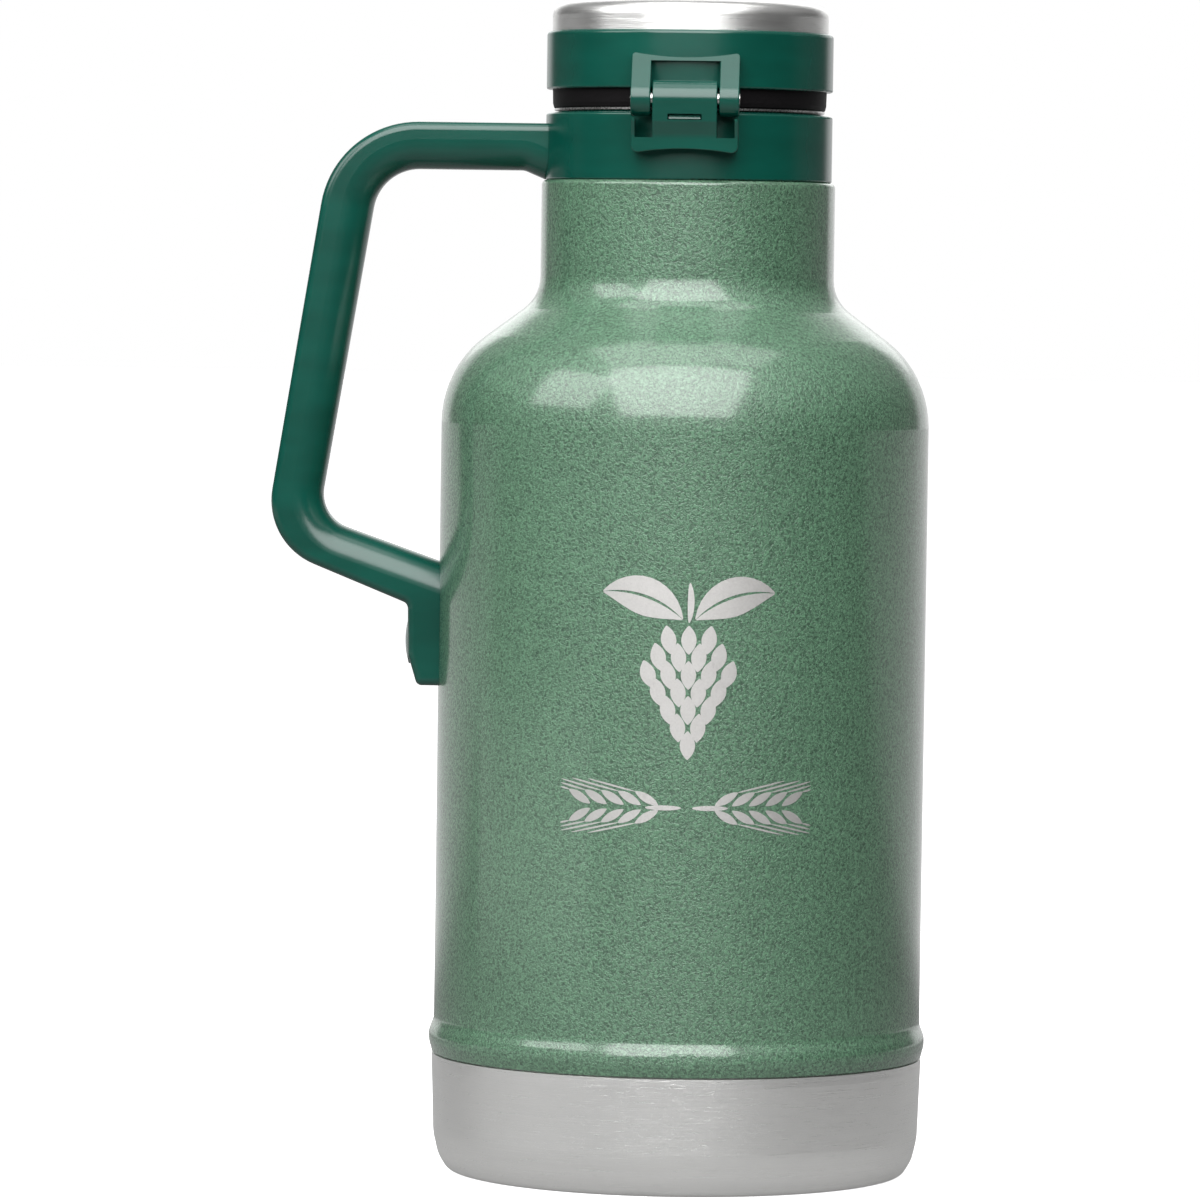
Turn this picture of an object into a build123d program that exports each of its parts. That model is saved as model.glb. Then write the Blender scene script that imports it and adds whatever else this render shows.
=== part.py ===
"""Vacuum growler: double-walled steel bottle with a side handle and a latched flip lid.

Origin: centre of the foot ring, on the surface that the bottle stands on.
+Z is up, the latch faces -Y, the lid hinge is at +Y and the handle is on the -X side.
"""

from math import cos, hypot, radians, sin, tan
import os

from build123d import *

# ---- driving dimensions, mm -------------------------------------------------

BODY_R = 60.0             # painted cylinder
NECK_R = 36.1             # painted neck
SHELL_WALL = 0.6
LINER_WALL = 0.5
CUP_WALL = 0.7

SEAM_Z = 29.1             # where the bare steel cup meets the painted shell
SEAM_R = 60.4
NECK_TOP_Z = 244.2
SHOULDER_ANGLE = 36.5     # the cone between body and neck, above the horizontal
CONE_CORNER_Z = 197.8     # where the cone's line meets the cylinder's line
SHOULDER_R = 26.5
NECK_ROOT_R = 10.0

MOUTH_R = 28.9            # bore of the liner's neck
SLEEVE_R = 31.4           # outside of the shell's upright sleeve, under the collar
LIP_R = 33.2              # rolled steel lip
LIP_TOP_Z = 261.7
VACUUM_GAP = 3.4
LINER_CORNER_Z = 197.4    # the liner's cone is laid out from its own corner
LINER_SHOULDER_R = 24.6

COLLAR_R = 35.2           # collar and lid band share this radius
COLLAR_EDGE_Z = 260.4
BAND_BOTTOM_Z = 266.4
BAND_TOP_Z = 280.6
CAP_R = 33.9
CAP_TOP_Z = 288.2

PIVOT_Z = 263.7           # height of the latch pin and of the lid hinge pin
LATCH_PIVOT_Y = -38.6
HINGE_PIVOT_Y = 39.8
PIN_R = 1.5
RUNNING_GAP = 0.05        # radial clearance of a turning fit
KNUCKLE_R = 4.3
HUB_R = 4.4               # the latch flap's barrel
HINGE_HUB_R = 4.0
LEG_IN = 8.3              # legs of the latch bracket and of the lid hinge, from x = 0
LEG_OUT = 13.1
HUB_HALF = 7.8            # half width of the latch flap's barrel and of the hinge lug
LATCH_GAP = 0.4           # the latch stands this far clear of the collar

HANDLE_HALF = 8.0         # half the handle's width
HAND_ROUND = 7.3          # edge rounding on the side that the fingers close round
OUTER_ROUND = 2.0
SCREW_Z = 130.5

PANEL_Z = 6.0             # underside of the cup's recessed bottom
LINER_FLOOR_Z = 16.0
GASKET_BOTTOM_Z = LIP_TOP_Z + 0.1
BAND_FLOOR_Z = BAND_BOTTOM_Z + 2.0
PLUG_R = 27.2
PLUG_BOTTOM_Z = 250.0

CAP_SEAT_Z = 272.0        # ledge in the band that the steel cap stands on

BRACKET_TOP_Z = 273.8     # top edge of the latch bracket at x = 0
BRACKET_RISE = 1.2        # how much higher that edge is at its two ends
WINDOW_TOP_Z = 272.9
BRACKET_TILT = 40.0       # how far the bracket's face leans back from the vertical
LATCH_ROUND = 0.3         # rounding of the latch's visible front edges
WING_HALF = 12.9          # half width of the flap's lower bar
WING_TOP_Z = 254.3
RAIL_IN = 12.05           # thin rails outside the flap's pockets
RAIL_TOP_Z = 258.9
FLAP_BOTTOM_Z = 251.6     # bottom edge of the flap at x = 0
SLOT_HALF = 4.1
SLOT_BOTTOM_Z = 258.6
SLOT_TOP_Z = 260.0
TOOTH_BOTTOM_Z = 258.8
TOOTH_TOP_Z = 259.8

BOSS_R = 5.3
SCREW_R = 2.0
SCREW_SEAT_X = -64.2
SCREW_CAP_R = 6.0
CAP_SEAT_X = -66.6

SLOPE = tan(radians(SHOULDER_ANGLE))


# ---- helpers ----------------------------------------------------------------

def outline(corners):
    """Closed sketch through (u, v, corner radius)."""
    points = [(u, v) for u, v, _ in corners]
    radii = [radius for _, _, radius in corners]
    return make_face(FilletPolyline(*points, radius=radii, close=True))


def turned(corners):
    """Solid of revolution about Z from a closed (r, z, corner radius) outline."""
    return revolve(Plane.XZ * outline(corners), Axis.Z)


def turned_sheet(corners, wall):
    """Sheet metal turned about Z: an open (r, z, corner radius) line with the wall on its left."""
    points = [(r, z) for r, z, _ in corners]
    radii = [radius for _, _, radius in corners[1:-1]]
    line = FilletPolyline(*points, radius=radii)
    strip = offset(line, amount=wall, kind=Kind.INTERSECTION, side=Side.LEFT)
    return revolve(Plane.XZ * make_face(strip), Axis.Z)


def drum(radius, bottom, top, inner=0.0):
    """Upright cylinder or tube on the bottle's axis."""
    solid = Pos(0, 0, bottom) * extrude(Circle(radius), top - bottom)
    if inner:
        solid -= Pos(0, 0, bottom) * extrude(Circle(inner), top - bottom)
    return solid


def bar_x(radius, x0, x1, y, z):
    """Round bar along X from x0 to x1."""
    return extrude(Plane(origin=(x0, y, z), z_dir=(1, 0, 0)) * Circle(radius), x1 - x0)


def slab_x(corners, x0, x1):
    """A (y, z, corner radius) side outline, extruded from x0 to x1."""
    return Pos(x0, 0, 0) * extrude(Plane.YZ * outline(corners), x1 - x0)


def block(x0, x1, y0, y1, z0, z1):
    size = Box(x1 - x0, y1 - y0, z1 - z0, align=(Align.MIN, Align.MIN, Align.MIN))
    return Pos(x0, y0, z0) * size


def softened(solid, radius, chosen):
    """The solid with a small rounding on each edge whose middle point is chosen."""
    return fillet(ShapeList(edge for edge in solid.edges() if chosen(edge @ 0.5)), radius)


def pair(solid):
    """The solid and its mirror image across the plane x = 0."""
    return solid + mirror(solid, Plane.YZ)


# ---- the double-walled bottle -----------------------------------------------

def seam_groove():
    """V groove left round the bottle where the shell meets the cup."""
    return turned([
        (SEAM_R - 0.5, SEAM_Z, 0),
        (SEAM_R + 0.5, SEAM_Z - 0.4, 0),
        (SEAM_R + 0.5, SEAM_Z + 0.4, 0),
    ])


def outer_shell():
    """Painted shell, spun from one tube: bead, cylinder, shoulder, neck and sleeve."""
    bead_r = BODY_R + 1.2
    cone_top_z = CONE_CORNER_Z + (BODY_R - NECK_R) * SLOPE
    return turned_sheet([
        (SEAM_R, SEAM_Z, 0),
        (bead_r, SEAM_Z + 3.0, 5.0),
        (bead_r, SEAM_Z + 5.2, 5.0),
        (BODY_R, SEAM_Z + 8.2, 4.0),
        (BODY_R, CONE_CORNER_Z, SHOULDER_R),
        (NECK_R, cone_top_z, NECK_ROOT_R),
        (NECK_R, NECK_TOP_Z, 1.2),
        (SLEEVE_R, NECK_TOP_Z, 0.3),
        (SLEEVE_R, LIP_TOP_Z - LINER_WALL, 0),
    ], SHELL_WALL) - seam_groove()


def base_cup():
    """Bare steel cup: lap joint under the seam, rounded foot ring and a recessed bottom."""
    cup = turned_sheet([
        (0, PANEL_Z, 0),
        (51.5, PANEL_Z, 2.5),
        (52.6, 0, 1.6),
        (56.2, 0, 3.0),
        (58.6, 3.8, 8.0),
        (59.8, 9.0, 16.0),
        (SEAM_R, SEAM_Z - 2.5, 5.0),
        (SEAM_R, SEAM_Z, 0),
    ], CUP_WALL)
    lap_r = SEAM_R - SHELL_WALL
    lap = drum(lap_r, SEAM_Z - 5, SEAM_Z + 1.2, lap_r - CUP_WALL)
    seal_hole = drum(1.5, PANEL_Z - 1, PANEL_Z + 2)
    return cup + lap - seal_hole - seam_groove()


def vacuum_seal():
    """Solder button that closes the evacuation hole in the cup's bottom."""
    return drum(4.0, PANEL_Z - 1.1, PANEL_Z) + drum(1.5, PANEL_Z, PANEL_Z + CUP_WALL)


def base_cover():
    """Steel pan spot-welded under the recessed bottom, over the vacuum seal."""
    rim_z = PANEL_Z - SHELL_WALL
    return turned_sheet([
        (0, 3.4, 0),
        (44.5, 3.4, 1.2),
        (46.0, rim_z, 1.2),
        (49.0, rim_z, 0),
    ], SHELL_WALL)


def liner_body():
    """Bare steel inner bottle with a rolled lip that sits on the shell's sleeve."""
    neck_r = MOUTH_R + LINER_WALL
    body_r = BODY_R - SHELL_WALL - VACUUM_GAP
    cone_drop = (VACUUM_GAP + SHELL_WALL) * (1 + SLOPE ** 2) ** 0.5
    cone_z = LINER_CORNER_Z - cone_drop
    return turned_sheet([
        (body_r, LINER_FLOOR_Z - 4, 0),
        (body_r, cone_z + (BODY_R - body_r) * SLOPE, LINER_SHOULDER_R),
        (neck_r, cone_z + (BODY_R - neck_r) * SLOPE, NECK_ROOT_R - 2),
        (neck_r, LIP_TOP_Z - LINER_WALL, 1.0),
        (LIP_R, LIP_TOP_Z - LINER_WALL, 0),
    ], LINER_WALL)


def liner_bottom():
    """Dished floor welded into the inner bottle."""
    floor_r = BODY_R - SHELL_WALL - VACUUM_GAP - LINER_WALL
    return turned_sheet([
        (floor_r, LINER_FLOOR_Z - 4, 0),
        (floor_r, LINER_FLOOR_Z, 3.0),
        (0, LINER_FLOOR_Z, 0),
    ], LINER_WALL)


def getter():
    """Getter capsule on the underside of the inner floor, in the vacuum."""
    top = LINER_FLOOR_Z - LINER_WALL
    return Pos(20, 0, 0) * drum(6.0, top - 2.2, top)


# ---- collar and handle ------------------------------------------------------

def handle_tongue():
    """Tongue that keys the handle's upper arm into the collar."""
    return block(-COLLAR_R - 1, -COLLAR_R + 2.2, -5, 5, 249.5, 255.5)


def hinge_lug():
    """Lug on the back of the collar that carries the lid's hinge pin."""
    y = HINGE_PIVOT_Y
    web = slab_x([
        (33.0, 246.5, 0),
        (36.4, 246.5, 1.0),
        (y + HINGE_HUB_R, 257.0, 3.0),
        (y + HINGE_HUB_R, PIVOT_Z, 0),
        (y - 3.0, PIVOT_Z, 0),
        (y - 3.2, COLLAR_EDGE_Z + 0.4, 0.5),
        (33.0, COLLAR_EDGE_Z, 0),
    ], -HUB_HALF, HUB_HALF)
    return web + bar_x(HINGE_HUB_R, -HUB_HALF, HUB_HALF, y, PIVOT_Z)


def catch_tooth():
    """Tooth on the front of the collar that the latch flap snaps over."""
    return slab_x([
        (-34.6, TOOTH_BOTTOM_Z, 0),
        (-41.85, TOOTH_BOTTOM_Z, 0),
        (-41.45, TOOTH_TOP_Z, 0),
        (-38.0, TOOTH_TOP_Z, 1.0),
        (-34.6, TOOTH_TOP_Z + 0.8, 0),
    ], -SLOT_HALF + 0.3, SLOT_HALF - 0.3)


def collar():
    """Plastic collar clamped round the sleeve, with the hinge lug and the catch tooth."""
    ring = turned([
        (SLEEVE_R, NECK_TOP_Z, 0.6),
        (COLLAR_R, NECK_TOP_Z, 0.5),
        (COLLAR_R, COLLAR_EDGE_Z, 0.6),
        (SLEEVE_R, COLLAR_EDGE_Z + 0.7, 0),
    ])
    lug = hinge_lug() - drum(COLLAR_R - 1, 240, 262)
    tooth = catch_tooth() - drum(COLLAR_R - 1, 240, 262)
    body = ring + lug + tooth
    body -= bar_x(PIN_R, -HUB_HALF, HUB_HALF, HINGE_PIVOT_Y, PIVOT_Z)
    return body - handle_tongue()


def handle_outline():
    """Side view of the handle in (x, z): arm, slanted grip, lower arm and foot."""
    return outline([
        (-30.0, 258.0, 0),
        (-86.85, 258.0, 24.2),
        (-103.4, 153.95, 17.0),
        (-67.5, 139.5, 1.8),
        (-67.3, 127.0, 4.0),
        (-65.0, 119.4, 1.6),
        (-56.0, 119.4, 0),
        (-56.0, 148.5, 0),
        (-90.1, 160.4, 8.8),
        (-75.9, 246.4, 11.5),
        (-40.4, 246.4, 4.0),
        (-35.4, 244.3, 0),
        (-30.0, 244.3, 0),
    ])


def on_hand_side(point):
    """True where a point of the outline lies on the side that the fingers close round."""
    grip_middle_x = -81.5 - 0.162 * (252.0 - point.Z)
    lower_arm_middle_z = 143.5 - 0.372 * (point.X + 60.0)
    return point.X > grip_middle_x and lower_arm_middle_z < point.Z < 252.5


def rim_edges(solid, hand_side):
    """Edges round the handle's two flat sides, on the hand side or on the outer side."""
    sides = solid.faces().filter_by(Axis.Y).sort_by(Axis.Y)
    edges = ShapeList()
    for side in (sides[0], sides[-1]):
        for edge in side.edges():
            middle = edge @ 0.5
            hidden = middle.X > -56.5 and middle.Z < 200 or middle.X > -31
            if not hidden and on_hand_side(middle) == hand_side:
                edges.append(edge)
    return edges


def screw_bores():
    """Room in the handle's foot for the boss, the screw and its cap, outwards along -X."""
    return (
        bar_x(BOSS_R + 0.2, -62.6, -55, 0, SCREW_Z)
        + bar_x(2.2, -70, -55, 0, SCREW_Z)
        + bar_x(4.1, -70, SCREW_SEAT_X, 0, SCREW_Z)
        + bar_x(SCREW_CAP_R + 0.05, -70, CAP_SEAT_X, 0, SCREW_Z)
    )


def handle():
    """D-shaped plastic handle: hand side well rounded, outer side with small corners."""
    blank = extrude(Plane.XZ * handle_outline(), HANDLE_HALF, both=True)
    blank = fillet(rim_edges(blank, hand_side=True), HAND_ROUND)
    blank = fillet(rim_edges(blank, hand_side=False), OUTER_ROUND)
    blank -= drum(BODY_R, 100, 170)
    blank -= drum(COLLAR_R, 240, 262) - handle_tongue()
    return blank - drum(30, 240, 262) - screw_bores()


def handle_boss():
    """Threaded boss welded to the shell, inside the handle's foot."""
    boss = bar_x(BOSS_R, -62.4, -55, 0, SCREW_Z) - bar_x(SCREW_R, -63, -55, 0, SCREW_Z)
    return boss - drum(BODY_R, 100, 170)


def handle_screw():
    """M4 screw with a pan head and a hexagon socket."""
    shank = bar_x(SCREW_R, SCREW_SEAT_X, -60.4, 0, SCREW_Z)
    head = bar_x(3.6, SCREW_SEAT_X - 1.8, SCREW_SEAT_X, 0, SCREW_Z)
    head = fillet(head.edges().sort_by(Axis.X)[0], 0.6)
    socket_plane = Plane(origin=(SCREW_SEAT_X - 1.8, 0, SCREW_Z), z_dir=(1, 0, 0))
    socket = extrude(socket_plane * RegularPolygon(1.45, 6), 1.2)
    return shank + head - socket


def handle_screw_cap():
    """Shallow domed plug that hides the screw."""
    dome_r = 20.0
    disc = bar_x(SCREW_CAP_R, CAP_SEAT_X - 1.7, CAP_SEAT_X, 0, SCREW_Z)
    return disc & Pos(CAP_SEAT_X - 1.7 + dome_r, 0, SCREW_Z) * Sphere(dome_r)


def hinge_pin():
    """Steel pin pressed into the collar's lug; the lid's knuckles turn on its ends."""
    return bar_x(PIN_R, -LEG_OUT, LEG_OUT, HINGE_PIVOT_Y, PIVOT_Z)


# ---- lid --------------------------------------------------------------------

def band_ring():
    """Band of the lid: floor flange, ledge for the steel cap and bevelled top edge."""
    return turned([
        (PLUG_R, BAND_BOTTOM_Z, 0),
        (COLLAR_R, BAND_BOTTOM_Z, 0.5),
        (COLLAR_R, BAND_TOP_Z, 1.0),
        (CAP_R, BAND_TOP_Z, 0.2),
        (CAP_R, CAP_SEAT_Z, 0),
        (CAP_R - 1.7, CAP_SEAT_Z, 0),
        (CAP_R - 1.7, BAND_FLOOR_Z, 0.5),
        (PLUG_R, BAND_FLOOR_Z, 0),
    ])


def bracket_face():
    """Front view of the latch bracket in (x, z): its top edge dips in the middle."""
    end_z = BRACKET_TOP_Z + BRACKET_RISE
    arc = ThreePointArc((-LEG_OUT, end_z), (0, BRACKET_TOP_Z), (LEG_OUT, end_z))
    sides = Polyline((LEG_OUT, end_z), (LEG_OUT, 255), (-LEG_OUT, 255), (-LEG_OUT, end_z))
    face = make_face([arc, sides])
    return fillet(face.vertices().group_by(Axis.Y)[-1], 0.9)


def latch_bracket():
    """Window frame on the front of the band: two legs, a top bar and two knuckles."""
    y = LATCH_PIVOT_Y
    tilt = radians(BRACKET_TILT)
    face_y = y - KNUCKLE_R * cos(tilt)
    face_z = PIVOT_Z + KNUCKLE_R * sin(tilt)
    wedge_top = BRACKET_TOP_Z + BRACKET_RISE + 0.8
    wedge = slab_x([
        (face_y, face_z, 0),
        (face_y + (wedge_top - face_z) * tan(tilt), wedge_top, 0),
        (-33.0, wedge_top, 0),
        (-33.0, BAND_BOTTOM_Z, 0),
        (-34.8, PIVOT_Z + 1.0, 0),
        (y, PIVOT_Z, 0),
    ], -LEG_OUT, LEG_OUT)
    wedge += bar_x(KNUCKLE_R, -LEG_OUT, LEG_OUT, y, PIVOT_Z)
    wedge &= Pos(0, -30, 0) * extrude(Plane.XZ * bracket_face(), 20)
    wedge -= block(-LEG_IN, LEG_IN, -50, -30, 250, WINDOW_TOP_Z)
    return wedge - drum(COLLAR_R + LATCH_GAP, 250, BAND_BOTTOM_Z)


def hinge_legs():
    """Two legs and knuckles on the back of the band."""
    shoulder = KNUCKLE_R * 0.7071
    y = HINGE_PIVOT_Y
    leg = slab_x([
        (y + shoulder, PIVOT_Z + shoulder, 0),
        (36.2, 273.6, 2.0),
        (33.0, 275.0, 0),
        (33.0, BAND_BOTTOM_Z, 0),
        (36.0, PIVOT_Z + 1.0, 0),
        (y, PIVOT_Z, 0),
    ], LEG_IN, LEG_OUT)
    leg += bar_x(KNUCKLE_R, LEG_IN, LEG_OUT, y, PIVOT_Z)
    return pair(leg - drum(COLLAR_R + LATCH_GAP, 250, BAND_BOTTOM_Z))


def on_bracket_front(point):
    """True on the outline of the latch bracket and on the inner edges of its legs."""
    clear_of_band = hypot(point.X, point.Y) > COLLAR_R + 0.2
    on_top = point.Y < 0 and point.Z > BRACKET_TOP_Z - 0.1 and clear_of_band
    beside_leg = any(abs(abs(point.X) - x) < 0.01 for x in (LEG_IN, LEG_OUT))
    return on_top or beside_leg and point.Y < LATCH_PIVOT_Y - 0.1


def lid_band():
    """Plastic lid body: band, latch bracket in front and hinge knuckles behind."""
    band = band_ring()
    core = drum(COLLAR_R - 0.8, 250, 290)
    band += latch_bracket() - core
    band += hinge_legs() - core
    band -= bar_x(HUB_R + 0.4, -LEG_IN, LEG_IN, LATCH_PIVOT_Y, PIVOT_Z)
    band -= bar_x(PIN_R, -LEG_OUT, LEG_OUT, LATCH_PIVOT_Y, PIVOT_Z)
    band = softened(band, LATCH_ROUND, on_bracket_front)
    return band - bar_x(PIN_R + RUNNING_GAP, -LEG_OUT, LEG_OUT, HINGE_PIVOT_Y, PIVOT_Z)


def lid_cap():
    """Brushed steel cap pressed into the band, very slightly domed."""
    return turned_sheet([
        (CAP_R, CAP_SEAT_Z, 0),
        (CAP_R, CAP_TOP_Z - 0.6, 3.2),
        (10, CAP_TOP_Z, 100),
        (0, CAP_TOP_Z, 0),
    ], SHELL_WALL)


def lid_plug():
    """Plastic cup that reaches into the mouth, hung from the band's floor by its flange."""
    flange_top = BAND_FLOOR_Z + 1.5
    return turned([
        (0, PLUG_BOTTOM_Z, 0),
        (25.9, PLUG_BOTTOM_Z, 1.5),
        (PLUG_R, 258.0, 3.0),
        (PLUG_R, BAND_FLOOR_Z, 0),
        (30.8, BAND_FLOOR_Z, 0),
        (30.8, flange_top, 0.4),
        (PLUG_R - 1.6, flange_top, 0),
        (PLUG_R - 1.6, 258.3, 3.0),
        (24.4, PLUG_BOTTOM_Z + 1.6, 0.8),
        (0, PLUG_BOTTOM_Z + 1.6, 0),
    ])


def lid_foam():
    """Insulating foam that fills the lid between the plug and the steel cap."""
    return turned([
        (0, PLUG_BOTTOM_Z + 1.8, 0),
        (24.0, PLUG_BOTTOM_Z + 1.8, 0.8),
        (PLUG_R - 1.9, 258.6, 3.0),
        (PLUG_R - 1.9, BAND_FLOOR_Z + 1.7, 0),
        (31.2, BAND_FLOOR_Z + 1.7, 0),
        (31.2, CAP_SEAT_Z + 0.3, 0),
        (32.4, CAP_SEAT_Z + 0.3, 0),
        (32.4, CAP_TOP_Z - 1.6, 3.0),
        (0, CAP_TOP_Z - 1.0, 0),
    ])


def lid_gasket():
    """Thick rubber ring that the lid presses down on the steel lip."""
    return turned([
        (PLUG_R, GASKET_BOTTOM_Z, 0),
        (LIP_R + 0.1, GASKET_BOTTOM_Z, 0.4),
        (LIP_R + 0.4, GASKET_BOTTOM_Z + 1.2, 0.5),
        (LIP_R + 0.5, BAND_BOTTOM_Z, 0),
        (PLUG_R, BAND_BOTTOM_Z, 0),
    ])


def latch_pin():
    """Steel pin pressed into the bracket's knuckles; the latch flap turns on it."""
    return bar_x(PIN_R, -LEG_OUT - 0.1, LEG_OUT + 0.1, LATCH_PIVOT_Y, PIVOT_Z)


# ---- latch ------------------------------------------------------------------

def flap_face():
    """Front view of the flap in (x, z): its bottom edge rises in the middle."""
    bottom = FLAP_BOTTOM_Z
    arc = ThreePointArc((-WING_HALF, bottom - 1.2), (0, bottom), (WING_HALF, bottom - 1.2))
    sides = Polyline((WING_HALF, bottom - 1.2), (WING_HALF, 270), (-WING_HALF, 270),
                     (-WING_HALF, bottom - 1.2))
    face = make_face([arc, sides])
    return fillet(face.vertices().group_by(Axis.Y)[0], 1.6)


def tooth_path():
    """Room inside the flap for the tooth, from closed to swung open, and the slot itself."""
    y = LATCH_PIVOT_Y
    sweep = bar_x(5.97, -SLOT_HALF, SLOT_HALF, y, PIVOT_Z)
    sweep -= bar_x(3.8, -SLOT_HALF, SLOT_HALF, y, PIVOT_Z)
    sweep -= block(-SLOT_HALF, SLOT_HALF, y - 10, y, SLOT_TOP_Z, PIVOT_Z + 10)
    slot = block(-SLOT_HALF, SLOT_HALF, y - 10, y, SLOT_BOTTOM_Z, SLOT_TOP_Z)
    behind = block(-SLOT_HALF, SLOT_HALF, y, y + 10, SLOT_BOTTOM_Z, PIVOT_Z)
    return sweep + slot + (behind - bar_x(3.8, -SLOT_HALF, SLOT_HALF, y, PIVOT_Z))


def on_flap_front(point):
    """True on the outline of the flap and on the long sides of its barrel and tongue."""
    beside_tongue = abs(abs(point.X) - HUB_HALF) < 0.01
    on_wing = abs(abs(point.X) - WING_HALF) < 0.01 or point.Z < FLAP_BOTTOM_Z + 0.1
    return point.Y < -40.2 and (beside_tongue or on_wing)


def latch_flap():
    """Snap flap: barrel on the pin, tongue with the slot, and winged lower bar."""
    y = LATCH_PIVOT_Y
    profile = slab_x([
        (y - HUB_R, PIVOT_Z, 0),
        (-42.3, SLOT_BOTTOM_Z - 0.4, 1.0),
        (-40.4, WING_TOP_Z + 0.4, 3.0),
        (-40.1, FLAP_BOTTOM_Z - 2, 0),
        (-32.0, FLAP_BOTTOM_Z - 2, 0),
        (-32.0, FLAP_BOTTOM_Z + 4, 0),
        (y + 3.2, PIVOT_Z - 3.0, 0),
        (y, PIVOT_Z, 0),
    ], -WING_HALF, WING_HALF)
    profile += bar_x(HUB_R, -HUB_HALF, HUB_HALF, y, PIVOT_Z)
    profile &= Pos(0, -30, 0) * extrude(Plane.XZ * flap_face(), 20)
    pocket = block(HUB_HALF, RAIL_IN, -50, -30, WING_TOP_Z, 270)
    beside = block(RAIL_IN - 1, WING_HALF, -50, -30, RAIL_TOP_Z, 270)
    profile -= pair(pocket + beside)
    profile -= drum(COLLAR_R + LATCH_GAP, 240, 270)
    profile -= bar_x(PIN_R + RUNNING_GAP, -HUB_HALF, HUB_HALF, y, PIVOT_Z)
    profile = softened(profile, LATCH_ROUND, on_flap_front)
    return profile - tooth_path()


# ---- export -----------------------------------------------------------------

NODES = (
    outer_shell, base_cup, vacuum_seal, base_cover, liner_body, liner_bottom, getter,
    collar, handle, handle_boss, handle_screw, handle_screw_cap, hinge_pin,
    lid_band, lid_cap, lid_plug, lid_foam, lid_gasket, latch_pin, latch_flap,
)


def main():
    os.makedirs("parts", exist_ok=True)
    for node in NODES:
        export_step(node(), "parts/" + node.__name__ + ".step")


main()
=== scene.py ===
"""Looks of the vacuum growler: materials, the etched mark, studio floor, lights and camera.

Places and sizes are in metres unless a name or comment says mm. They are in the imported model's
frame: +Z up, latch towards -Y, handle towards -X, origin on the floor under the bottle's axis.
"""

from math import cos, pi, radians, sin

import bpy
from mathutils import Matrix, Vector


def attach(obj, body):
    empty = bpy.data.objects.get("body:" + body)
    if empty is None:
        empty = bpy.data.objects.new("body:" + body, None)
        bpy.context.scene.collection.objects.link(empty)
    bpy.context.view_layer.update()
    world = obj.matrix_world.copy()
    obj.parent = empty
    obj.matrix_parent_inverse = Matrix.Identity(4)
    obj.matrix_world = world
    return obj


MM = 0.001

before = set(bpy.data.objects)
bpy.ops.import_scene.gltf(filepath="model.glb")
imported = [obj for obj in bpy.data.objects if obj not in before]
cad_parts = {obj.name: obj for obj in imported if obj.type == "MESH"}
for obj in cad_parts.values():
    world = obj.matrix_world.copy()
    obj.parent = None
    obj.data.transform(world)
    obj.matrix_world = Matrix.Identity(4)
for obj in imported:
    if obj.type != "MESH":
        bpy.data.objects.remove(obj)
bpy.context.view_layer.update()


# ---- camera, floor and light ------------------------------------------------

CAMERA_DISTANCE = 1.85
CAMERA_HEIGHT = 0.2223
CAMERA_AZIMUTH = 1.6      # degrees from straight in front, towards +X
CAMERA_YAW = 0.63         # aims this many degrees to the left of the bottle's axis
CAMERA_PITCH = 2.52       # aims this many degrees below the horizon
CAMERA_ROLL = 0.8
CAMERA_LENS = 225.2       # mm
CAMERA_REACH = 50         # sees past the floor's far edge

MIDDLE = (0, 0, 0.15)     # half way up the bottle
FOOT = (0, 0, 0.02)

FRONT_WATTS = 33.0
TOP_WATTS = 5.5
LEFT_WATTS = 6.5
CARD_WATTS = 0.15
BACK_WATTS = 3.0

WORLD_BACK = 1.0          # brightness behind the object
WORLD_SIDE = 0.12         # added at the sides, above the horizon
WORLD_LOW = 0.05          # at the horizon and below
WORLD_HIGH = 0.15         # overhead

FLOOR_HALF = 9            # half the floor's width
FLOOR_FRONT = -4
FLOOR_REAR = 14
FLOOR_SEEN = 0.88         # glow of the floor as the camera sees it
FLOOR_NEAR = 0.26         # glow that the object picks up from the floor around its foot
FLOOR_ROUND = 0.02        # and from the floor beyond that
FLOOR_FAR = 0.7           # and from the floor well behind it


def add_camera():
    """Long lens in front of the bottle, a little off its axis and slightly rolled."""
    azimuth = radians(CAMERA_AZIMUTH)
    place = Vector((sin(azimuth), -cos(azimuth), 0)) * CAMERA_DISTANCE
    place.z = CAMERA_HEIGHT
    turn = Matrix.Rotation(azimuth + radians(CAMERA_YAW), 4, "Z")
    tilt = Matrix.Rotation(radians(90 - CAMERA_PITCH), 4, "X")
    roll = Matrix.Rotation(radians(CAMERA_ROLL), 4, "Z")
    camera = bpy.data.objects.new("camera", bpy.data.cameras.new("camera"))
    camera.data.lens = CAMERA_LENS
    camera.data.clip_end = CAMERA_REACH
    camera.matrix_world = Matrix.Translation(place) @ turn @ tilt @ roll
    bpy.context.collection.objects.link(camera)
    bpy.context.scene.camera = camera


def add_light(name, place, target, width, height, watts):
    """Rectangular soft box that faces the target and isn't seen itself."""
    data = bpy.data.lights.new(name, "AREA")
    data.shape = "RECTANGLE"
    data.size = width
    data.size_y = height
    data.energy = watts
    light = bpy.data.objects.new(name, data)
    light.location = place
    light.rotation_euler = (Vector(target) - Vector(place)).to_track_quat("-Z", "Y").to_euler()
    light.visible_camera = False
    bpy.context.collection.objects.link(light)


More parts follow.
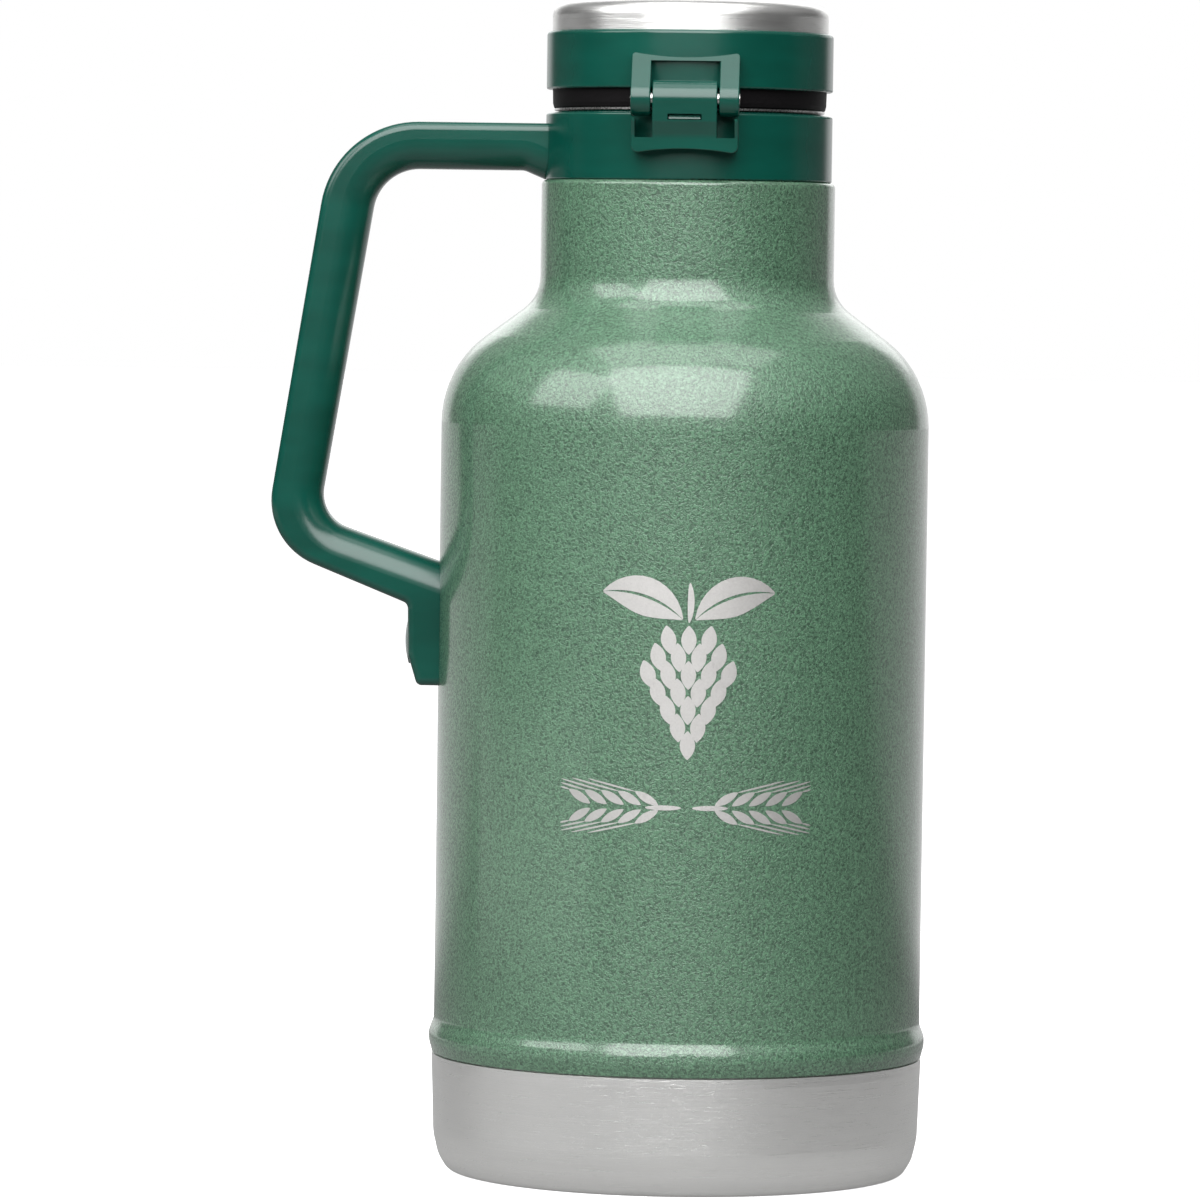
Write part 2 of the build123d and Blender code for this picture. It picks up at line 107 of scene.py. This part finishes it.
def add_lights():
    """Big front box, weaker ones above, left and behind, and a low card that lights the foot."""
    add_light("back_box", (0.0, 1.3, 0.9), MIDDLE, 1.2, 1.0, BACK_WATTS)
    add_light("front_box", (-0.04, -0.95, 0.97), MIDDLE, 1.3, 1.3, FRONT_WATTS)
    add_light("top_box", (0.0, -0.1, 1.4), MIDDLE, 1.2, 0.6, TOP_WATTS)
    add_light("left_box", (-0.9, -0.5, 0.85), MIDDLE, 0.7, 0.7, LEFT_WATTS)
    add_light("low_card", (-0.6, -0.2, 0.04), FOOT, 0.8, 0.08, CARD_WATTS)


# ---- node trees -------------------------------------------------------------

class Graph:
    """Short calls that add nodes to one node tree."""

    def __init__(self, tree):
        self.tree = tree

    def set(self, node, inputs):
        """Feeds the named inputs of a node; an underscore in a name stands for a space."""
        for name, value in inputs.items():
            self.feed(node.inputs[name.replace("_", " ")], value)

    def feed(self, socket, value):
        """Links the socket to another node's output, or sets it to a constant."""
        if isinstance(value, bpy.types.NodeSocket):
            self.tree.links.new(value, socket)
        else:
            socket.default_value = value

    def node(self, kind, settings=(), **inputs):
        node = self.tree.nodes.new("ShaderNode" + kind)
        for name, value in dict(settings).items():
            setattr(node, name, value)
        self.set(node, inputs)
        return node

    def math(self, operation, first, second):
        node = self.node("Math", {"operation": operation})
        self.feed(node.inputs[0], first)
        self.feed(node.inputs[1], second)
        return node.outputs[0]

    def length(self, vector):
        return self.node("VectorMath", {"operation": "LENGTH"}, Vector=vector).outputs["Value"]

    def remap(self, value, low, high, to_low, to_high, curve="LINEAR"):
        """Value that goes from to_low to to_high, and stops there, as value goes low to high."""
        node = self.node("MapRange", {"interpolation_type": curve}, Value=value)
        for name, number in (("From Min", low), ("From Max", high),
                             ("To Min", to_low), ("To Max", to_high)):
            node.inputs[name].default_value = number
        return node.outputs["Result"]

    def blend(self, factor, first, second):
        """Colour that goes from first to second."""
        node = self.node("ValToRGB", Fac=factor)
        node.color_ramp.elements[0].color = first
        node.color_ramp.elements[1].color = second
        return node.outputs["Color"]


class Recipe(Graph):
    """A node material: its Principled shader, and short calls for texture on a surface.

    The scale of a texture is in lumps per metre, roughly.
    """

    def __init__(self, name, **constants):
        self.material = bpy.data.materials.new(name)
        self.material.use_nodes = True
        super().__init__(self.material.node_tree)
        self.shader = self.tree.nodes["Principled BSDF"]
        self.set(self.shader, constants)

    def place(self, scale=(1, 1, 1)):
        """Position in the model's frame, in metres, stretched by scale."""
        coords = self.node("TexCoord").outputs["Object"]
        return self.node("Mapping", Vector=coords, Scale=scale).outputs[0]

    def noise(self, vector, scale, detail=2.0, roughness=0.5, distortion=0.0):
        node = self.node("TexNoise", Vector=vector, Scale=scale, Detail=detail,
                         Roughness=roughness, Distortion=distortion)
        return node.outputs[0]

    def cells(self, vector, scale):
        return self.node("TexVoronoi", Vector=vector, Scale=scale).outputs["Distance"]

    def mix(self, first, second, share):
        """Sum of two textures, of which the first counts for share."""
        return self.math("ADD", self.math("MULTIPLY", first, share),
                         self.math("MULTIPLY", second, 1 - share))

    def bump(self, height, depth):
        """Normal of a surface whose height of 0 to 1 stands for the depth in metres."""
        return self.node("Bump", Height=height, Distance=depth, Strength=1.0).outputs[0]


# ---- surroundings -----------------------------------------------------------

def add_world():
    """White behind the object, pale high up at the sides and dark on the camera side.

    x, y and z are the parts of the direction that a ray leaves in, each from -1 to 1.
    """
    world = bpy.data.worlds.new("studio")
    world.use_nodes = True
    bpy.context.scene.world = world
    graph = Graph(world.node_tree)
    way = graph.node("SeparateXYZ", Vector=graph.node("TexCoord").outputs["Generated"])
    x, y, z = way.outputs
    behind = graph.remap(y, 0.79, 0.88, 0.0, WORLD_BACK, "SMOOTHSTEP")
    aside = graph.math("ABSOLUTE", x, 0.0)
    sideways = graph.remap(aside, 0.2, 0.9, 0.0, WORLD_SIDE, "SMOOTHSTEP")
    raised = graph.remap(z, 0.2, 0.5, 0.0, 1.0, "SMOOTHSTEP")
    above = graph.remap(z, 0.0, 0.6, WORLD_LOW, WORLD_HIGH, "SMOOTHSTEP")
    level = graph.math("ADD", above, graph.math("MULTIPLY", sideways, raised))
    level = graph.math("MAXIMUM", level, behind)
    seen = graph.node("LightPath").outputs["Is Camera Ray"]
    strength = graph.math("MAXIMUM", level, seen)
    graph.set(world.node_tree.nodes["Background"], {"Color": (1, 1, 1, 1), "Strength": strength})


def add_floor():
    """Wide floor, white to the camera; reflections see it glow near the foot and far behind."""
    mesh = bpy.data.meshes.new("floor")
    corners = [(-FLOOR_HALF, FLOOR_FRONT, 0), (FLOOR_HALF, FLOOR_FRONT, 0),
               (FLOOR_HALF, FLOOR_REAR, 0), (-FLOOR_HALF, FLOOR_REAR, 0)]
    mesh.from_pydata(corners, [], [(0, 1, 2, 3)])
    floor = bpy.data.objects.new("floor", mesh)
    bpy.context.collection.objects.link(floor)
    recipe = Recipe("floor", Roughness=0.9, Emission_Color=(1, 1, 1, 1))
    seen = recipe.node("LightPath").outputs["Is Camera Ray"]
    place = recipe.place()
    depth = recipe.node("SeparateXYZ", Vector=place).outputs["Y"]
    near = recipe.remap(recipe.length(place), 0.3, 0.5, FLOOR_NEAR, FLOOR_ROUND, "SMOOTHSTEP")
    far = recipe.remap(depth, 0.3, 0.7, 0.0, FLOOR_FAR, "SMOOTHSTEP")
    glow = recipe.math("MAXIMUM", recipe.math("MULTIPLY", seen, FLOOR_SEEN),
                       recipe.math("MAXIMUM", near, far))
    recipe.set(recipe.shader, {
        "Base Color": recipe.blend(seen, (0.1, 0.1, 0.1, 1), (0.9, 0.9, 0.9, 1)),
        "Emission Strength": glow})
    mesh.materials.append(recipe.material)


# ---- materials --------------------------------------------------------------

def hammertone_paint():
    """Hammered enamel: lumps of about a millimetre, with a painted highlight on their tops and
    painted shade in their creases.
    """
    recipe = Recipe("hammertone_paint", IOR=1.6, Coat_Weight=1.0, Coat_Roughness=0.15)
    place = recipe.place()
    lumps = recipe.noise(place, 1650, detail=2, roughness=0.5, distortion=0.8)
    patches = recipe.noise(place, 45, detail=2)
    height = recipe.remap(lumps, 0.33, 0.66, 0.0, 1.0)
    tone = recipe.mix(height, patches, 0.85)
    recipe.set(recipe.shader, {
        # Base colour follows the lump height: painted shade in the creases and a painted
        # highlight on the tops, plus random patches of tone.
        "Base Color": recipe.blend(tone, (0.015, 0.047, 0.025, 1), (0.098, 0.215, 0.126, 1)),
        "Roughness": recipe.remap(height, 0.0, 1.0, 0.5, 0.38),
        "Normal": recipe.bump(height, 0.10 * MM)})
    return recipe.material


def brushed_steel():
    """Stainless steel with fine brush lines that run round the bottle's axis.

    The noise is read over radius and height, so it makes rings; a little of x breaks them up.
    """
    recipe = Recipe("brushed_steel", Metallic=1.0)
    x, _, z = recipe.node("SeparateXYZ", Vector=recipe.place()).outputs
    radius = recipe.length(recipe.place((1, 1, 0)))
    across = recipe.node("CombineXYZ", X=radius, Y=z, Z=recipe.math("MULTIPLY", x, 0.015))
    lines = recipe.noise(across.outputs[0], 6300, detail=4, roughness=0.7)
    cloud = recipe.noise(recipe.place(), 30, detail=2)
    tone = recipe.mix(lines, cloud, 0.7)
    recipe.set(recipe.shader, {
        "Base Color": recipe.blend(tone, (0.80, 0.80, 0.79, 1), (0.94, 0.935, 0.915, 1)),
        "Roughness": recipe.remap(lines, 0.3, 0.7, 0.26, 0.38),
        "Normal": recipe.bump(lines, 0.045 * MM)})
    return recipe.material


def satin_steel(name, rough):
    """Plain turned or polished steel with a fine, even grain."""
    recipe = Recipe(name, Metallic=1.0, Base_Color=(0.60, 0.60, 0.59, 1))
    grain = recipe.noise(recipe.place(), 2500)
    recipe.set(recipe.shader, {
        "Roughness": recipe.remap(grain, 0.3, 0.7, rough, rough + 0.1),
        "Normal": recipe.bump(grain, 0.004 * MM)})
    return recipe.material


def satin_plastic(name, dark, light):
    """Moulded plastic with a very fine grain and faint flow marks."""
    recipe = Recipe(name, IOR=1.53)
    grain = recipe.noise(recipe.place(), 3500)
    flow = recipe.noise(recipe.place((1, 1, 3)), 40)
    recipe.set(recipe.shader, {
        "Base Color": recipe.blend(recipe.remap(flow, 0.3, 0.7, 0.0, 1.0), dark, light),
        "Roughness": recipe.remap(grain, 0.3, 0.7, 0.2, 0.26),
        "Normal": recipe.bump(grain, 0.006 * MM)})
    return recipe.material


def soft_rubber():
    """Black gasket rubber with hardly any sheen."""
    recipe = Recipe("soft_rubber", Specular_IOR_Level=0.08)
    grain = recipe.noise(recipe.place(), 2200)
    recipe.set(recipe.shader, {
        "Base Color": recipe.blend(grain, (0.002, 0.002, 0.002, 1), (0.008, 0.007, 0.008, 1)),
        "Roughness": recipe.remap(grain, 0.3, 0.7, 0.5, 0.65),
        "Normal": recipe.bump(grain, 0.015 * MM)})
    return recipe.material


def bead_foam():
    """White foam of pressed beads, about 3 mm across."""
    recipe = Recipe("bead_foam", Roughness=0.8)
    beads = recipe.cells(recipe.place(), 350)
    recipe.set(recipe.shader, {
        "Base Color": recipe.blend(beads, (0.88, 0.88, 0.86, 1), (0.7, 0.7, 0.68, 1)),
        "Normal": recipe.bump(beads, -0.2 * MM)})
    return recipe.material


def dress_nodes():
    """Gives every CAD node its finish."""
    green = satin_plastic("green_plastic", (0.0003, 0.043, 0.030, 1), (0.0006, 0.058, 0.041, 1))
    black = satin_plastic("black_plastic", (0.010, 0.010, 0.010, 1), (0.02, 0.02, 0.02, 1))
    steel = brushed_steel()
    liner = satin_steel("liner_steel", 0.22)
    turned = satin_steel("turned_steel", 0.2)
    solder = satin_steel("solder", 0.5)
    finishes = {
        hammertone_paint(): ["outer_shell"],
        steel: ["base_cup", "base_cover", "lid_cap"],
        liner: ["liner_body", "liner_bottom"],
        turned: ["getter", "handle_boss", "handle_screw", "hinge_pin", "latch_pin"],
        solder: ["vacuum_seal"],
        green: ["collar", "handle", "handle_screw_cap", "lid_band", "latch_flap"],
        black: ["lid_plug"],
        bead_foam(): ["lid_foam"],
        soft_rubber(): ["lid_gasket"],
    }
    for material, names in finishes.items():
        for name in names:
            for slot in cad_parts[name].material_slots:
                slot.material = material


# ---- etched mark ------------------------------------------------------------

BODY_RADIUS = 60.0 * MM
MARK_AZIMUTH = radians(3.2)
MARK_PROUD = 0.04 * MM    # bare metal shows through the paint; drawn just over it
MARK_WALL = 0.10 * MM

# Drawn flat, in mm, with u to the right and v up.
EMBLEM_HEIGHT = 127.0     # above the floor, middle of the hop cone
EARS_HEIGHT = 94.0        # above the floor, line of the two barley ears
BLADE_STEPS = 12
BLADE_END = 0.03          # width at a blade's two ends, as a share of its full width

SCALE_ROWS = (3, 4, 5, 4, 3, 2, 1)    # scales in each row of the cone, from the top
SCALE_SPACING = 5.4
SCALE_PITCH = 4.2
SCALE_LENGTH = 1.62 * SCALE_PITCH
SCALE_HALF = 0.34 * SCALE_SPACING
SCALE_FAN = 0.03          # radians that a scale turns inwards, for each mm off the middle
CONE_TOP = 10.6
STALK_BOTTOM = 11.4
STALK_LENGTH = 9.5
STALK_HALF = 0.8
LEAF_ROOT = (1.6, 12.2)
LEAF_RISE = 16            # degrees
LEAF_BEND = 0.9           # radians from root to tip
LEAF_LENGTH = 21
LEAF_HALF = 4.6
MIDRIB_HALF = 0.35

STEM_START = 1.4
STEM_LENGTH = 8.5
STEM_HALF = 0.6
KERNELS = 5
KERNEL_START = 6.8
KERNEL_PITCH = 4.2
KERNEL_LENGTH = 6.4
KERNEL_HALF = 1.0
KERNEL_SPREAD = 30        # degrees off the ear's line
KERNEL_OFFSET = 0.6
AWN_ALONG = 5.6           # from a kernel's root to the root of its awn
AWN_OFFSET = 3.8
AWN_LENGTH = 12.0
AWN_HALF = 0.22
AWN_SPREAD = 13           # degrees off the ear's line
EAR_LENGTH = 31.5         # the awns stop here


def blade(start, heading, length, left, right, bend=0.0, fullness=1.0, columns=4):
    """Grid of flat points, in mm, of a leaf shape that tapers to both ends of a curved spine.

    left and right are its widths on either side of the spine; a low fullness makes its sides
    more nearly parallel.
    """
    u, v = start
    rows = []
    for step in range(BLADE_STEPS + 1):
        along = step / BLADE_STEPS
        angle = heading + bend * (along - 0.5)
        width = max(sin(pi * along), BLADE_END) ** fullness
        row = []
        for column in range(columns + 1):
            side = (left + right) * column / columns - right
            row.append((u - side * width * sin(angle), v + side * width * cos(angle)))
        rows.append(row)
        u += length / BLADE_STEPS * cos(angle)
        v += length / BLADE_STEPS * sin(angle)
    return rows


def hop_leaf(start, heading, bend):
    """Leaf in two halves with a clear midrib between them."""
    return [
        blade(start, heading, LEAF_LENGTH, LEAF_HALF, -MIDRIB_HALF, bend=bend, fullness=0.8),
        blade(start, heading, LEAF_LENGTH, -MIDRIB_HALF, LEAF_HALF, bend=bend, fullness=0.8),
    ]


def hop_cone():
    """Staggered pointed scales, at most five across, with a stalk and two leaves."""
    shapes = []
    for row, count in enumerate(SCALE_ROWS):
        top = CONE_TOP - SCALE_PITCH * row
        for index in range(count):
            u = (index - (count - 1) / 2) * SCALE_SPACING
            shapes.append(blade((u, top), -pi / 2 - SCALE_FAN * u, SCALE_LENGTH,
                                SCALE_HALF, SCALE_HALF, fullness=0.75))
    shapes.append(blade((0, STALK_BOTTOM), pi / 2, STALK_LENGTH,
                        STALK_HALF, STALK_HALF, bend=0.3, fullness=0.5))
    u, v = LEAF_ROOT
    shapes += hop_leaf((u, v), radians(LEAF_RISE), -LEAF_BEND)
    shapes += hop_leaf((-u, v), radians(180 - LEAF_RISE), LEAF_BEND)
    return shapes


def barley_ear(side):
    """Ear that lies along the band and points away from the middle: stem, kernels and awns."""
    heading = 0 if side > 0 else pi
    shapes = [blade((side * STEM_START, 0), heading, STEM_LENGTH,
                    STEM_HALF, STEM_HALF, fullness=0.4)]
    for index in range(KERNELS):
        u = KERNEL_START + index * KERNEL_PITCH
        awn_length = min(AWN_LENGTH, EAR_LENGTH - u - AWN_ALONG)
        for lean in (-1, 1):
            root = (side * u, lean * KERNEL_OFFSET)
            tip = (side * (u + AWN_ALONG), lean * AWN_OFFSET)
            kernel_heading = heading + side * lean * radians(KERNEL_SPREAD)
            awn_heading = heading + side * lean * radians(AWN_SPREAD)
            shapes.append(blade(root, kernel_heading, KERNEL_LENGTH,
                                KERNEL_HALF, KERNEL_HALF, fullness=0.7))
            shapes.append(blade(tip, awn_heading, awn_length,
                                AWN_HALF, AWN_HALF, fullness=0.4, columns=1))
    return shapes


def add_mark():
    """Hop cone over two barley ears, wrapped round the front of the bottle."""
    shapes = [(shape, EMBLEM_HEIGHT) for shape in hop_cone()]
    shapes += [(shape, EARS_HEIGHT) for side in (-1, 1) for shape in barley_ear(side)]
    vertices = []
    faces = []
    radius = BODY_RADIUS + MARK_PROUD
    for rows, height in shapes:
        first = len(vertices)
        columns = len(rows[0])
        for row in rows:
            for u, v in row:
                angle = MARK_AZIMUTH + u * MM / BODY_RADIUS
                vertices.append((radius * sin(angle), -radius * cos(angle), (height + v) * MM))
        for i in range(len(rows) - 1):
            for j in range(columns - 1):
                corner = first + i * columns + j
                faces.append((corner, corner + columns, corner + columns + 1, corner + 1))
    mesh = bpy.data.meshes.new("etched_mark")
    mesh.from_pydata(vertices, [], faces)
    mark = bpy.data.objects.new("etched_mark", mesh)
    bpy.context.collection.objects.link(mark)
    wall = mark.modifiers.new("wall", "SOLIDIFY")
    wall.thickness = MARK_WALL
    mesh.materials.append(etched_steel())
    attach(mark, "vessel")


def etched_steel():
    """Laser-etched steel: pale, dull and finely speckled."""
    recipe = Recipe("etched_steel", Metallic=0.85)
    speck = recipe.noise(recipe.place(), 1800, detail=4, roughness=0.7)
    recipe.set(recipe.shader, {
        "Base Color": recipe.blend(speck, (0.46, 0.45, 0.44, 1), (0.66, 0.65, 0.635, 1)),
        "Roughness": recipe.remap(speck, 0.3, 0.7, 0.42, 0.55),
        "Normal": recipe.bump(speck, 0.02 * MM)})
    return recipe.material


# ---- everything -------------------------------------------------------------

bpy.context.scene.view_settings.view_transform = "Standard"
add_camera()
add_world()
add_lights()
add_floor()
dress_nodes()
add_mark()
